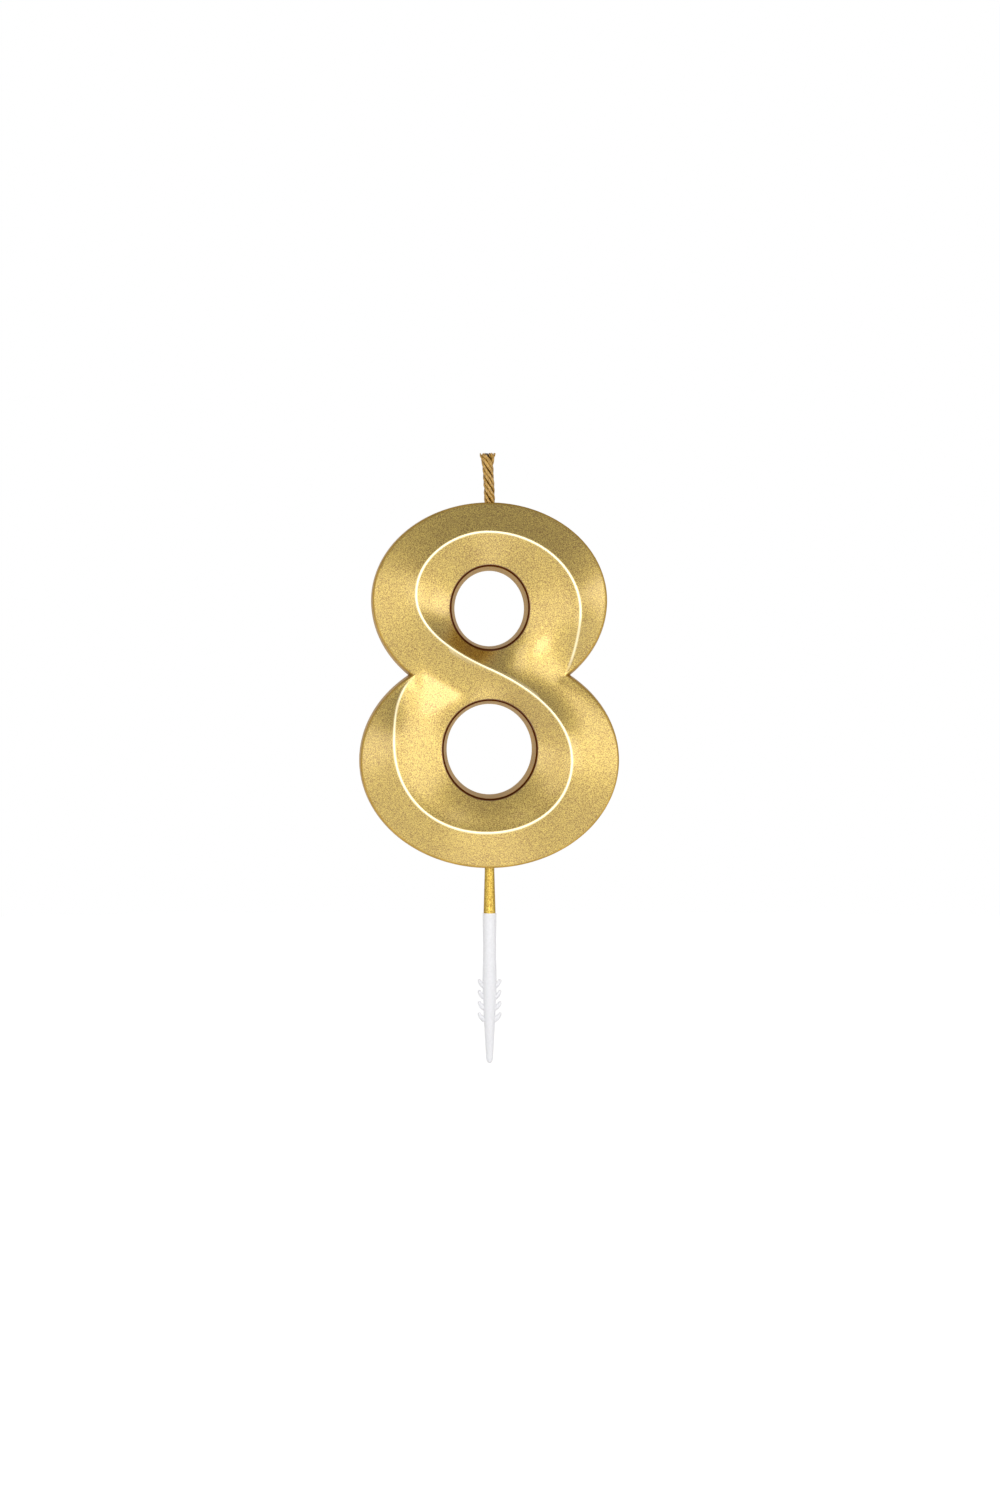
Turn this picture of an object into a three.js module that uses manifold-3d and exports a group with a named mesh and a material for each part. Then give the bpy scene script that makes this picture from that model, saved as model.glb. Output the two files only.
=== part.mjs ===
// Number candle: a chiselled figure 8 in cast wax, a three-ply wick and a barbed pick.
// Sizes are in millimetres. X runs to the viewer's right, Y away from the viewer and Z up.
// The origin is on the pick's axis, at the shoulder that rests on the icing of the cake.

import * as THREE from 'three';
import { mergeVertices } from 'three/addons/utils/BufferGeometryUtils.js';
import Module from 'manifold-3d';

const wasm = await Module();
wasm.setup();

// Numeral: two ovals, each made of an upper and a lower half ellipse
const numeralFoot = 8.4;
const lobeSpacing = 30.6;
const topHalfWidth = 22.7;
const topRise = 18.9;
const topDrop = 19.6;
const bottomHalfWidth = 25;
const bottomRise = 20.9;
const bottomDrop = 20.8;

// Counters: the two openings, measured where the face meets them
const topCounterHalfWidth = 7.6;
const topCounterHalfHeight = 8.15;
const topCounterBelowCentre = 1.5;
const bottomCounterHalfWidth = 9.1;
const bottomCounterHalfHeight = 9.6;
const bottomCounterAboveCentre = 2.1;

// Thickness: the wick and the pick stand on the middle of the side walls
const wallDepth = 9;
const backFromAxis = 4.5;
const ridgeRise = 3.1;
const outerDraft = 0.45;
const counterDraft = 0.95;
const edgeRound = 0.3;

// Ridge: how far in from the outline it runs at each of its turning points,
// and how far those points lie from the middle of their lobe or of the waist
const ridgeInTopRight = 5.6;
const ridgeInTop = 6.1;
const ridgeInTopLeft = 8.7;
const ridgeInBottomRight = 9.5;
const ridgeInBottom = 7.2;
const ridgeInBottomLeft = 6.8;
const ridgeTopRightBelow = 2.4;
const ridgeTopLeftAbove = 0.9;
const ridgeBottomLeftAbove = 3.6;
const ridgeTopLeftward = 0.4;
const ridgeBottomLeftward = 0.7;
const ridgeWaistAbove = 1.1;
const ridgeWaistSlope = -24;
const crestHalfWidth = 0.35;

// Notches at the waist: the ridge fades out towards them, and each holds the face down round its tip
// as much as this length of edge would
const ridgeEndRun = 8;
const notchPull = 30;

// Wick: three plies in a left-hand lay, standing in a blind bore
const plyCount = 3;
const plyRadius = 0.46;
const plyGap = 0.12;
const wickLay = 8.4;
const wickFreeLength = 9.2;
const wickBoreDepth = 9.5;
const wickClearance = 0.15;
const wickLean = 0.4;
const frayLength = 2.4;
const fraySpread = 0.5;
const frayRadius = 0.56;
const frayHeading = 195;

// Pick: round stem and shaft, four pairs of barbs, and a head held in the wax
const stemTopRadius = 0.92;
const stemFootRadius = 1.15;
const shaftRadius = 1.33;
const shaftWaistRadius = 1.24;
const shaftFootRadius = 1.05;
const pickTipRadius = 0.64;
const pickLength = 28.7;
const barbCount = 4;
const barbPitch = 2.13;
const topBarbDepth = 12.6;
const barbReach = 2.18;
const barbLength = 1.9;
const barbTipWidth = 0.3;
const barbThroat = 0.75;
const barbThickness = 1.1;
const headLength = 9;
const headRibCount = 3;
const headRibRise = 0.35;
const headClearance = 0.12;
const endGap = 0.3;

// Fineness of the facets
const facetStep = 1.05;
const traceStep = 0.25;
const traceTurns = 720;
const flankRows = 5;
const roundSides = 24;
const plySides = 8;
const plySteps = 44;
const barbSteps = 6;
const halvings = 44;
const weldDistance = 1e-5;
const leastArea = 1e-7;
const leastSquare = 1e-9;

const waxGold = new THREE.MeshStandardMaterial({ color: 0xc9a95a, roughness: 0.38, metalness: 0.9 });
const whitePlastic = new THREE.MeshStandardMaterial({ color: 0xf0f0f2, roughness: 0.45, metalness: 0 });
const waxedCotton = new THREE.MeshStandardMaterial({ color: 0xb8862b, roughness: 0.6, metalness: 0.2 });

const backY = backFromAxis;
const edgeY = backFromAxis - wallDepth;

// An oval on the candle's axis: half ellipses of their own heights above and below one level.
const oval = (z, halfWidth, rise, drop) => ({ x: 0, z, halfWidth, rise, drop });
const bottomLobe = oval(numeralFoot + bottomDrop, bottomHalfWidth, bottomRise, bottomDrop);
const topLobe = oval(bottomLobe.z + lobeSpacing, topHalfWidth, topRise, topDrop);
const topCounter = oval(
  topLobe.z - topCounterBelowCentre,
  topCounterHalfWidth,
  topCounterHalfHeight,
  topCounterHalfHeight,
);
const bottomCounter = oval(
  bottomLobe.z + bottomCounterAboveCentre,
  bottomCounterHalfWidth,
  bottomCounterHalfHeight,
  bottomCounterHalfHeight,
);
const numeralTop = topLobe.z + topRise;
const counterGapMiddle = (topCounter.z - topCounter.drop + bottomCounter.z + bottomCounter.rise) / 2;

const point = (x, y, z) => new THREE.Vector3(x, y, z);
const radians = THREE.MathUtils.degToRad;
const smooth = (share) => THREE.MathUtils.smoothstep(share, 0, 1);
const headingFrom = (centre, p) => Math.atan2(p.z - centre.z, p.x - centre.x);

// Halve an interval until the test changes from true to false in it.
function bisect(low, high, holds) {
  for (let i = 0; i < halvings; i += 1) {
    const middle = (low + high) / 2;
    if (holds(middle)) low = middle;
    else high = middle;
  }
  return (low + high) / 2;
}

// Whether a point is inside an oval that is drawn in by an inset.
function isInside(shape, inset, x, z) {
  const height = (z > shape.z ? shape.rise : shape.drop) - inset;
  return Math.hypot((x - shape.x) / (shape.halfWidth - inset), (z - shape.z) / height) < 1;
}

// The point of an oval, drawn in by an inset, that lies on a heading from a centre.
function ovalPoint(shape, inset, centre, heading, y) {
  const across = Math.cos(heading);
  const up = Math.sin(heading);
  const farthest = 2 * (shape.halfWidth + shape.rise + shape.drop);
  const reach = bisect(0, farthest, (r) => isInside(shape, inset, centre.x + r * across, centre.z + r * up));
  return point(centre.x + reach * across, y, centre.z + reach * up);
}

// The point where the outlines of the two lobes cross, on the right (side 1) or the left (-1).
function notchPoint(side, inset, y) {
  const halfWidthAt = (shape, z) => {
    const height = (z > shape.z ? shape.rise : shape.drop) - inset;
    const share = (z - shape.z) / height;
    return (shape.halfWidth - inset) * Math.sqrt(Math.max(0, 1 - share * share));
  };
  const low = topLobe.z - topDrop + inset;
  const high = bottomLobe.z + bottomRise - inset;
  const z = bisect(low, high, (level) => halfWidthAt(topLobe, level) < halfWidthAt(bottomLobe, level));
  return point(side * halfWidthAt(topLobe, z), y, z);
}

// Ridge: cubic curves through the notches, the turning points and the middle of the waist.
// A handle is a share of the straight distance between the two anchors that it lies between.
const faceInset = outerDraft + edgeRound;
const rightNotch = notchPoint(1, faceInset, edgeY);
const leftNotch = notchPoint(-1, faceInset, edgeY);
const topRightIn = topHalfWidth - ridgeInTopRight;
const topLeftIn = topHalfWidth - ridgeInTopLeft;
const bottomRightIn = bottomHalfWidth - ridgeInBottomRight;
const bottomLeftIn = bottomHalfWidth - ridgeInBottomLeft;
const anchor = (x, z, heading, into, outOf) => ({ x, z, heading, into, outOf });
const anchors = [
  anchor(rightNotch.x, rightNotch.z, 62, 0, 0.25),
  anchor(topRightIn, topLobe.z - ridgeTopRightBelow, 90, 0.3, 0.38),
  anchor(-ridgeTopLeftward, numeralTop - ridgeInTop, 180, 0.39, 0.36),
  anchor(-topLeftIn, topLobe.z + ridgeTopLeftAbove, -90, 0.39, 0.3),
  anchor(0, counterGapMiddle + ridgeWaistAbove, ridgeWaistSlope, 0.45, 0.38),
  anchor(bottomRightIn, bottomLobe.z, -90, 0.34, 0.36),
  anchor(-ridgeBottomLeftward, numeralFoot + ridgeInBottom, 180, 0.46, 0.39),
  anchor(-bottomLeftIn, bottomLobe.z + ridgeBottomLeftAbove, 90, 0.44, 0.47),
  anchor(leftNotch.x, leftNotch.z, 42, 0.31, 0),
];

function makeRidge() {
  const path = new THREE.CurvePath();
  for (let i = 1; i < anchors.length; i += 1) {
    const from = anchors[i - 1];
    const to = anchors[i];
    const chord = Math.hypot(to.x - from.x, to.z - from.z);
    const handle = (end, length) => new THREE.Vector2(
      end.x + length * Math.cos(radians(end.heading)),
      end.z + length * Math.sin(radians(end.heading)),
    );
    path.add(new THREE.CubicBezierCurve(
      new THREE.Vector2(from.x, from.z),
      handle(from, from.outOf * chord),
      handle(to, -to.into * chord),
      new THREE.Vector2(to.x, to.z),
    ));
  }
  return path;
}

const ridge = makeRidge();
const ridgeLength = ridge.getLength();
const anchorRuns = ridge.getCurveLengths();
const topLeftAt = anchorRuns[2] / ridgeLength;
const waistAt = anchorRuns[3] / ridgeLength;
const bottomRightAt = anchorRuns[4] / ridgeLength;

// A point of the ridge in plan, at the level of the edges
function ridgePoint(share) {
  const p = ridge.getPointAt(share);
  return point(p.x, edgeY, p.y);
}

// The bridges run from the notches to the ridge, in line with the counter that they pass.
const leftLine = headingFrom(topCounter, leftNotch);
const rightLine = headingFrom(bottomCounter, rightNotch);
const isPast = (counter, line, share) => Math.sin(headingFrom(counter, ridgePoint(share)) - line) > 0;
const leftBridgeAt = bisect(topLeftAt, waistAt, (share) => !isPast(topCounter, leftLine, share));
const rightBridgeAt = bisect(waistAt, bottomRightAt, (share) => isPast(bottomCounter, rightLine, share));

// Points at an even spacing along a stretch of the ridge, both ends included.
function ridgeStretch(from, to, step) {
  const count = Math.max(3, Math.round((to - from) * ridgeLength / step));
  return Array.from({ length: count + 1 }, (_, i) => ridgePoint(THREE.MathUtils.lerp(from, to, i / count)));
}

// The way round an oval from one heading to another, anticlockwise (direction 1) or clockwise (-1)
function sweepFrom(first, last, direction) {
  const fullTurn = 2 * Math.PI;
  const turn = direction * (last - first) % fullTurn;
  return direction * ((turn + fullTurn) % fullTurn);
}

// A curve as short steps, each with its middle and its length
function stepsOf(points) {
  return points.slice(1).map((p, i) => ({
    x: (p.x + points[i].x) / 2,
    z: (p.z + points[i].z) / 2,
    length: Math.hypot(p.x - points[i].x, p.z - points[i].z),
  }));
}

function edgeSteps(shape, inset, first, sweep) {
  const headings = Array.from({ length: traceTurns + 1 }, (_, i) => first + sweep * i / traceTurns);
  return stepsOf(headings.map((heading) => ovalPoint(shape, inset, shape, heading, edgeY)));
}

function lobeEdge(lobe, direction) {
  const first = headingFrom(lobe, rightNotch);
  return edgeSteps(lobe, faceInset, first, sweepFrom(first, headingFrom(lobe, leftNotch), direction));
}

const edgeTrace = [
  ...edgeSteps(topCounter, 0, 0, 2 * Math.PI),
  ...edgeSteps(bottomCounter, 0, 0, 2 * Math.PI),
  ...lobeEdge(topLobe, 1),
  ...lobeEdge(bottomLobe, -1),
  { x: rightNotch.x, z: rightNotch.z, length: notchPull },
  { x: leftNotch.x, z: leftNotch.z, length: notchPull },
];
const ridgeTrace = stepsOf(ridgeStretch(0, 1, traceStep)).map((step, i, steps) => {
  const run = (i + 0.5) / steps.length * ridgeLength;
  return { ...step, fade: smooth(Math.min(run, ridgeLength - run) / ridgeEndRun) };
});

// How far the face stands before its edges at a point of the plan. The smooth distance from a curve is
// (2/pi * sum of length / distance^4)^(-1/3), which beside a straight line is the plain distance.
// With a from the ridge and b from the edges, a / (a + b) is the share of the way down the flank.
function faceRise(x, z) {
  const nearness = (step) => step.length / ((step.x - x) ** 2 + (step.z - z) ** 2 + leastSquare) ** 2;
  const smoothDistance = (near) => (2 / Math.PI * near) ** (-1 / 3);
  let nearEdge = 0;
  edgeTrace.forEach((step) => {
    nearEdge += nearness(step);
  });
  let nearRidge = 0;
  let nearHeight = 0;
  ridgeTrace.forEach((step) => {
    const near = nearness(step) * step.fade;
    nearRidge += near;
    nearHeight += near * step.fade;
  });
  const fromRidge = smoothDistance(nearRidge);
  const across = fromRidge + smoothDistance(nearEdge);
  const fall = flankFall(fromRidge / across, Math.min(0.5, crestHalfWidth / across));
  return ridgeRise * nearHeight / nearRidge * (1 - fall);
}

// One side of the numeral's outline, with a point for each point of the ridge beside it.
// It goes from the right notch round a lobe to the left one, and each level has its own notches.
function outlineLevels(lobe, counter, ridgePoints) {
  const direction = lobe === topLobe ? 1 : -1;
  const ridgeFirst = headingFrom(counter, rightNotch);
  const ridgeSweep = sweepFrom(ridgeFirst, headingFrom(counter, leftNotch), direction);
  const level = (inset, y) => {
    const start = notchPoint(1, inset, y);
    const end = notchPoint(-1, inset, y);
    const first = headingFrom(counter, start);
    const sweep = sweepFrom(first, headingFrom(counter, end), direction);
    const between = ridgePoints.slice(1, -1).map((p) => {
      const share = sweepFrom(ridgeFirst, headingFrom(counter, p), direction) / ridgeSweep;
      return ovalPoint(lobe, inset, counter, first + share * sweep, y);
    });
    return [start, ...between, end];
  };
  return {
    face: level(faceInset, edgeY),
    edge: level(outerDraft, edgeY + edgeRound),
    back: level(0, backY),
  };
}

// Share of the fall from the crest to the edge: a rounded crest, then a straight flank.
function flankFall(share, crestShare) {
  const fall = share < crestShare ? share * share / (2 * crestShare) : share - crestShare / 2;
  return fall / (1 - crestShare / 2);
}

// A line of points down a flank, from the crest to the edge.
function flankLine(crest, edge) {
  const width = Math.hypot(edge.x - crest.x, edge.z - crest.z);
  const crestShare = Math.min(0.5, crestHalfWidth / Math.max(width, crestHalfWidth));
  const shares = [0, crestShare / 2];
  for (let row = 0; row < flankRows; row += 1) {
    shares.push(THREE.MathUtils.lerp(crestShare, 1, row / flankRows));
  }
  const line = shares.map((share) => {
    const x = THREE.MathUtils.lerp(crest.x, edge.x, share);
    const z = THREE.MathUtils.lerp(crest.z, edge.z, share);
    return point(x, edgeY - faceRise(x, z), z);
  });
  return [...line, edge];
}

// A growing list of triangles.
class Skin {
  constructor() {
    this.corners = [];
  }

  triangle(a, b, c) {
    const area = b.clone().sub(a).cross(c.clone().sub(a)).length();
    if (area > leastArea) this.corners.push(...a.toArray(), ...b.toArray(), ...c.toArray());
  }

  // Skin over lines of points that lie side by side, facing one way or, if flipped, the other.
  grid(lines, flip) {
    for (let i = 1; i < lines.length; i += 1) {
      for (let j = 1; j < lines[i].length; j += 1) {
        const quad = [lines[i - 1][j - 1], lines[i][j - 1], lines[i][j], lines[i - 1][j]];
        if (flip) quad.reverse();
        this.triangle(quad[0], quad[1], quad[2]);
        this.triangle(quad[0], quad[2], quad[3]);
      }
    }
  }

  geometry() {
    const geometry = new THREE.BufferGeometry();
    geometry.setAttribute('position', new THREE.Float32BufferAttribute(this.corners, 3));
    return mergeVertices(geometry, weldDistance);
  }
}

// Join and cut closed shapes
function toSolid(geometry) {
  const bare = new THREE.BufferGeometry();
  bare.setAttribute('position', geometry.getAttribute('position'));
  if (geometry.index) bare.setIndex(geometry.index);
  const merged = mergeVertices(bare, weldDistance);
  return new wasm.Manifold(new wasm.Mesh({
    numProp: 3,
    vertProperties: new Float32Array(merged.getAttribute('position').array),
    triVerts: new Uint32Array(merged.index.array),
  }));
}

function toGeometry(solid) {
  const mesh = solid.getMesh();
  const geometry = new THREE.BufferGeometry();
  geometry.setAttribute('position', new THREE.BufferAttribute(new Float32Array(mesh.vertProperties), 3));
  geometry.setIndex(new THREE.BufferAttribute(new Uint32Array(mesh.triVerts), 1));
  return geometry;
}

// A round bar on the Z axis from pairs of radius and level, lowest first.
function turned(profile) {
  const lowest = profile[0][1];
  const highest = profile[profile.length - 1][1];
  const outline = [[0, lowest], ...profile, [0, highest]];
  const lathe = new THREE.LatheGeometry(outline.map(([r, z]) => new THREE.Vector2(r, z)), roundSides);
  return lathe.rotateX(Math.PI / 2);
}

// Pick head in the wax: the stem goes on upwards with rings that the wax grips.
// Grow is how much larger the socket is than the head all round.
const headFoot = numeralFoot - endGap;
const headTop = numeralFoot + headLength;
const headRibPitch = headLength / (headRibCount + 1);

function headProfile(grow) {
  const profile = [];
  for (let rib = 1; rib <= headRibCount; rib += 1) {
    const level = numeralFoot + rib * headRibPitch;
    profile.push([stemTopRadius + grow, level - headRibRise - grow]);
    profile.push([stemTopRadius + headRibRise + grow, level - grow]);
    profile.push([stemTopRadius + headRibRise + grow, level + grow]);
    profile.push([stemTopRadius + grow, level + headRibRise + grow]);
  }
  profile.push([stemTopRadius + grow, headTop + grow]);
  return profile;
}

function makeNumeral() {
  const topRidge = ridgeStretch(0, leftBridgeAt, facetStep);
  const waistRidge = ridgeStretch(leftBridgeAt, rightBridgeAt, facetStep);
  const bottomRidge = ridgeStretch(rightBridgeAt, 1, facetStep);
  topRidge[0].copy(rightNotch);
  bottomRidge[bottomRidge.length - 1].copy(leftNotch);
  const topOutline = outlineLevels(topLobe, topCounter, topRidge);
  const bottomOutline = outlineLevels(bottomLobe, bottomCounter, bottomRidge);
  const skin = new Skin();

  // Outer flanks, from the ridge out to the outline
  const topOuter = topRidge.map((crest, i) => flankLine(crest, topOutline.face[i]));
  const bottomOuter = bottomRidge.map((crest, i) => flankLine(crest, bottomOutline.face[i]));
  skin.grid(topOuter, true);
  skin.grid(bottomOuter, false);
  const leftBridge = topOuter[topOuter.length - 1];
  const rightBridge = bottomOuter[0];

  // Inner flanks, from the ridge and the bridge in to a counter, and the counter's wall
  const innerRing = (counter, loop, flip) => {
    const headings = loop.map((p) => headingFrom(counter, p));
    const level = (inset, y) => headings.map((heading) => ovalPoint(counter, inset, counter, heading, y));
    const rim = level(0, edgeY);
    const lip = level(edgeRound, edgeY + edgeRound);
    const rear = level(counterDraft, backY);
    skin.grid(loop.map((crest, i) => flankLine(crest, rim[i])), flip);
    skin.grid(rim.map((p, i) => [p, lip[i], rear[i]]), flip);
    return rear;
  };
  const topLoop = [...topRidge, ...waistRidge.slice(1), ...rightBridge.slice(1)];
  const bottomLoop = [...waistRidge, ...bottomRidge.slice(1), ...leftBridge.slice(0, -1).reverse()];
  const topRear = innerRing(topCounter, topLoop, false);
  const bottomRear = innerRing(bottomCounter, bottomLoop, true);

  // Side wall, right round both lobes
  const around = (level) => [...topOutline[level], ...bottomOutline[level].slice(0, -1).reverse()];
  const faceLoop = around('face');
  const edgeLoop = around('edge');
  const backLoop = around('back');
  skin.grid(faceLoop.map((p, i) => [p, edgeLoop[i], backLoop[i]]), true);

  // Flat back with the two openings in it
  const flat = (loop) => loop.slice(0, -1).map((p) => new THREE.Vector2(p.x, p.z));
  const contours = [flat(backLoop), flat(topRear), flat(bottomRear)];
  const corners = contours.flat();
  const faces = THREE.ShapeUtils.triangulateShape(contours[0], contours.slice(1));
  faces.forEach((face) => {
    const [a, b, c] = face.map((i) => point(corners[i].x, backY, corners[i].y));
    const facesBack = (b.z - a.z) * (c.x - a.x) - (b.x - a.x) * (c.z - a.z) > 0;
    if (facesBack) skin.triangle(a, b, c);
    else skin.triangle(a, c, b);
  });

  // Bore for the wick and socket for the pick's head
  const wickBore = turned([
    [wickBoreRadius, numeralTop - wickBoreDepth],
    [wickBoreRadius, numeralTop + wickFreeLength],
  ]);
  const pickSocket = turned([
    [stemTopRadius + headClearance, numeralFoot - headLength],
    ...headProfile(headClearance),
  ]);
  return toGeometry(toSolid(skin.geometry()).subtract(toSolid(wickBore)).subtract(toSolid(pickSocket)));
}

// Wick: each ply is a helix round a shared axis that leans a little above the wax.
const plyOrbit = (2 * plyRadius + plyGap) / (2 * Math.sin(Math.PI / plyCount));
const wickBoreRadius = plyOrbit + plyRadius + wickClearance;
const wickFoot = numeralTop - wickBoreDepth + endGap;
const wickTop = numeralTop + wickFreeLength;

class PlyPath extends THREE.Curve {
  constructor(turnStart) {
    super();
    this.turnStart = turnStart;
  }

  getPoint(share) {
    const z = THREE.MathUtils.lerp(wickFoot, wickTop, share);
    const lean = -wickLean * smooth((z - numeralTop) / wickFreeLength);
    const fray = Math.max(0, 1 - (wickTop - z) / frayLength) ** 2;
    const orbit = plyOrbit + fraySpread * fray;
    const angle = this.turnStart + (wickTop - z) / wickLay * 2 * Math.PI;
    return point(lean + orbit * Math.cos(angle), orbit * Math.sin(angle), z);
  }
}

// A round rod along a curve whose radius changes on the way, closed at both ends.
function roundRod(curve, radiusAt, steps, sides) {
  const frames = curve.computeFrenetFrames(steps, false);
  const rings = Array.from({ length: steps + 1 }, (_, i) => {
    const centre = curve.getPointAt(i / steps);
    return Array.from({ length: sides + 1 }, (__, j) => {
      const angle = (j % sides) / sides * 2 * Math.PI;
      const radius = radiusAt(i / steps);
      return centre.clone()
        .addScaledVector(frames.normals[i], radius * Math.cos(angle))
        .addScaledVector(frames.binormals[i], radius * Math.sin(angle));
    });
  });
  const skin = new Skin();
  skin.grid(rings, true);
  const foot = curve.getPointAt(0);
  const top = curve.getPointAt(1);
  for (let j = 1; j <= sides; j += 1) {
    skin.triangle(foot, rings[0][j], rings[0][j - 1]);
    skin.triangle(top, rings[steps][j - 1], rings[steps][j]);
  }
  return skin.geometry();
}

function makePly(turnStart) {
  const frayShare = frayLength / (wickTop - wickFoot);
  const radiusAt = (share) => {
    const fray = Math.max(0, 1 - (1 - share) / frayShare);
    return THREE.MathUtils.lerp(plyRadius, frayRadius, fray * fray);
  };
  return roundRod(new PlyPath(turnStart), radiusAt, plySteps, plySides);
}

// Pick: a turned bar with the barbs as thin plates through it.
function makePick() {
  const barbsFoot = -(topBarbDepth + barbPitch * (barbCount - 1) + barbLength);
  const shaft = turned([
    [pickTipRadius / 2, -pickLength],
    [pickTipRadius, -pickLength + pickTipRadius],
    [shaftFootRadius, barbsFoot],
    [shaftRadius, -topBarbDepth],
    [shaftWaistRadius, -topBarbDepth / 2],
    [shaftRadius, 0],
    [stemFootRadius, 0],
    [stemTopRadius, headFoot],
    ...headProfile(0),
  ]);
  let pick = toSolid(shaft);
  for (let barb = 0; barb < barbCount; barb += 1) {
    const tip = -topBarbDepth - barb * barbPitch;
    const throat = tip - barbThroat;
    const outline = new THREE.Shape();
    outline.moveTo(0, tip - barbLength);
    outline.lineTo(shaftFootRadius / 2, tip - barbLength);
    outline.quadraticCurveTo(barbReach, (throat + tip - barbLength) / 2, barbReach, tip);
    outline.lineTo(barbReach - barbTipWidth, tip);
    outline.quadraticCurveTo(barbReach - 2 * barbTipWidth, throat, shaftFootRadius, throat);
    outline.lineTo(0, throat);
    outline.closePath();
    const plate = new THREE.ExtrudeGeometry(outline, {
      depth: barbThickness,
      bevelEnabled: false,
      curveSegments: barbSteps,
    });
    plate.translate(0, 0, -barbThickness / 2).rotateX(Math.PI / 2);
    const opposite = plate.clone().rotateZ(Math.PI);
    pick = pick.add(toSolid(plate)).add(toSolid(opposite));
  }
  return toGeometry(pick);
}

function named(name, geometry, material) {
  const mesh = new THREE.Mesh(geometry, material);
  mesh.name = name;
  return mesh;
}

const candle = new THREE.Group();
candle.add(named('number_body', makeNumeral(), waxGold));
for (let ply = 0; ply < plyCount; ply += 1) {
  const turnStart = radians(frayHeading + ply * 360 / plyCount);
  candle.add(named(`wick_ply_${ply + 1}`, makePly(turnStart), waxedCotton));
}
candle.add(named('cake_pick', makePick(), whitePlastic));

export default candle;
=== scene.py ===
import math

import bpy
import numpy as np
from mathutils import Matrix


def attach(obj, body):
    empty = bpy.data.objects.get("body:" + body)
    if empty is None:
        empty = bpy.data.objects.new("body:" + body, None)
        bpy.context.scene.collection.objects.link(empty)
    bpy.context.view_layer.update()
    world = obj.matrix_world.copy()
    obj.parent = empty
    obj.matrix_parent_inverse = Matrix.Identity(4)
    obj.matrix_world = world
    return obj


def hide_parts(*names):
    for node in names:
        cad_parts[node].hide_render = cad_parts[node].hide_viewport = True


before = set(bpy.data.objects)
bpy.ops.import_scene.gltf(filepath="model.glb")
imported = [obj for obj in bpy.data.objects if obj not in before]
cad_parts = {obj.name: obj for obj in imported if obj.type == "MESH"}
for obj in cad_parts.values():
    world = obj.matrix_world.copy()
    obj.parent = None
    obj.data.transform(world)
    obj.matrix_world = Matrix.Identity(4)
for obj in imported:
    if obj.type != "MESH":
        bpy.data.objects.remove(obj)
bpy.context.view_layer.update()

# Number candle: a chiselled figure 8 of cast wax in gold lacquer, its wick and its barbed pick.
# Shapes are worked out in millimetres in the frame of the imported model, and become metres in makePiece.
millimetre = 0.001


# Share s from 0 to 1 becomes 3s^2 - 2s^3, which is level at both ends.
def smoothStep(share):
    s = np.clip(share, 0, 1)
    return s * s * (3 - 2 * s)


def mix(a, b, share):
    return a + (b - a) * share


# Points of the X-Z plane moved to a depth y.
def atDepth(p, y):
    return np.stack([p[..., 0], np.broadcast_to(y, p.shape[:-1]), p[..., 1]], -1)


# Heading of each point of the X-Z plane as seen from the axis at a level.
def headingFrom(level, p):
    return np.arctan2(p[..., 1] - level, p[..., 0])


# Halves an interval fifty times, keeping the half in which the test stops holding.
def bisect(low, high, holds):
    low, high = np.asarray(low, float), np.asarray(high, float)
    for _ in range(50):
        middle = (low + high) / 2
        stays = holds(middle)
        low, high = np.where(stays, middle, low), np.where(stays, high, middle)
    return (low + high) / 2


# Grids of points[line, row] become triangles over shared points.
# Points closer than a ten-thousandth of a millimetre are one, and cells without area are left out.
def skinOf(grids):
    points, cells, count = [], [], 0
    for grid, flip in grids:
        lines, rows = grid.shape[:2]
        index = count + np.arange(lines * rows).reshape(lines, rows)
        corners = [index[:-1, :-1], index[1:, :-1], index[1:, 1:], index[:-1, 1:]]
        quads = np.stack(corners[::-1] if flip else corners, -1).reshape(-1, 4)
        cells += [quads[:, [0, 1, 2]], quads[:, [0, 2, 3]]]
        points.append(grid.reshape(-1, 3))
        count += lines * rows
    points, cells = np.vstack(points), np.vstack(cells)
    rounded = np.round(points * 1e4).astype(np.int64)
    _, first, same = np.unique(rounded, axis=0, return_index=True, return_inverse=True)
    cells = same.reshape(-1)[cells]
    whole = (cells != np.roll(cells, 1, axis=1)).all(1)
    return points[first], cells[whole]


# Smooth faces, with sharp lines where they meet at more than an angle in degrees, if one is given.
def shadeSmooth(mesh, sharpAngle=None):
    mesh.polygons.foreach_set("use_smooth", np.ones(len(mesh.polygons), bool))
    if sharpAngle is not None:
        mesh.set_sharp_from_angle(angle=math.radians(sharpAngle))


# A mesh object at the origin, with its place in its points and smooth faces.
def makePiece(name, points, cells, material):
    mesh = bpy.data.meshes.new(name)
    mesh.from_pydata(points * millimetre, [], cells)
    shadeSmooth(mesh)
    mesh.update()
    mesh.validate()
    mesh.materials.append(material)
    piece = bpy.data.objects.new(name, mesh)
    bpy.context.scene.collection.objects.link(piece)
    return piece


# The exact cut or union of a piece with others, which it uses up.
def joinExactly(piece, others, operation):
    for other in others:
        step = piece.modifiers.new(operation, "BOOLEAN")
        step.operation, step.solver, step.object = operation, "EXACT", other
    graph = bpy.context.evaluated_depsgraph_get()
    done = bpy.data.meshes.new_from_object(piece.evaluated_get(graph))
    piece.modifiers.clear()
    piece.data = done
    for other in others:
        bpy.data.objects.remove(other)


# Places in millimetres of a mesh's points ("co") or of the middles of its faces ("center").
def placesOf(items, key):
    places = np.empty(len(items) * 3)
    items.foreach_get(key, places)
    return places.reshape(-1, 3) / millimetre


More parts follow.
